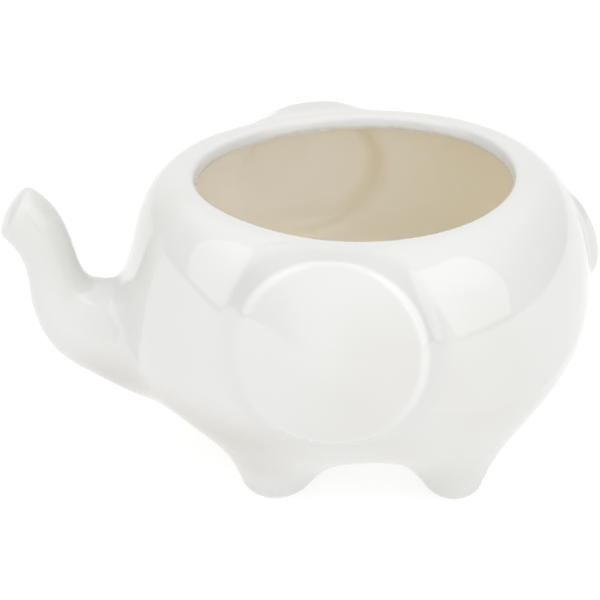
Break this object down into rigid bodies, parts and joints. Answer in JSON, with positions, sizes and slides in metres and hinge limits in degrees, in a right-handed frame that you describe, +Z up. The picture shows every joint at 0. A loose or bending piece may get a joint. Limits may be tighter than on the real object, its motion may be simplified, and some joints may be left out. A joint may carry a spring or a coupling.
{
  "type": "succulent pot",
  "caption": "Round glazed ceramic succulent pot in the form of a small elephant, with a wide open mouth, raised trunk, disc ears, stubby feet and a small tail.",
  "frame": {"origin": "on the ground, under the middle of the whole pot's box", "axes": "+Z up, +X towards the tail and -X towards the trunk, -Y towards the elephant's left ear"},
  "size_m": [0.198, 0.163, 0.0992],
  "materials": {
    "white_glaze": "glossy white glaze outside, thin satin cream glaze inside"
  },
  "bodies": {
    "root": {"bowl": "white_glaze", "trunk": "white_glaze", "tail": "white_glaze", "left_ear": "white_glaze", "right_ear": "white_glaze", "front_left_foot": "white_glaze", "front_right_foot": "white_glaze", "rear_left_foot": "white_glaze", "rear_right_foot": "white_glaze"}
  },
  "joints": []
}
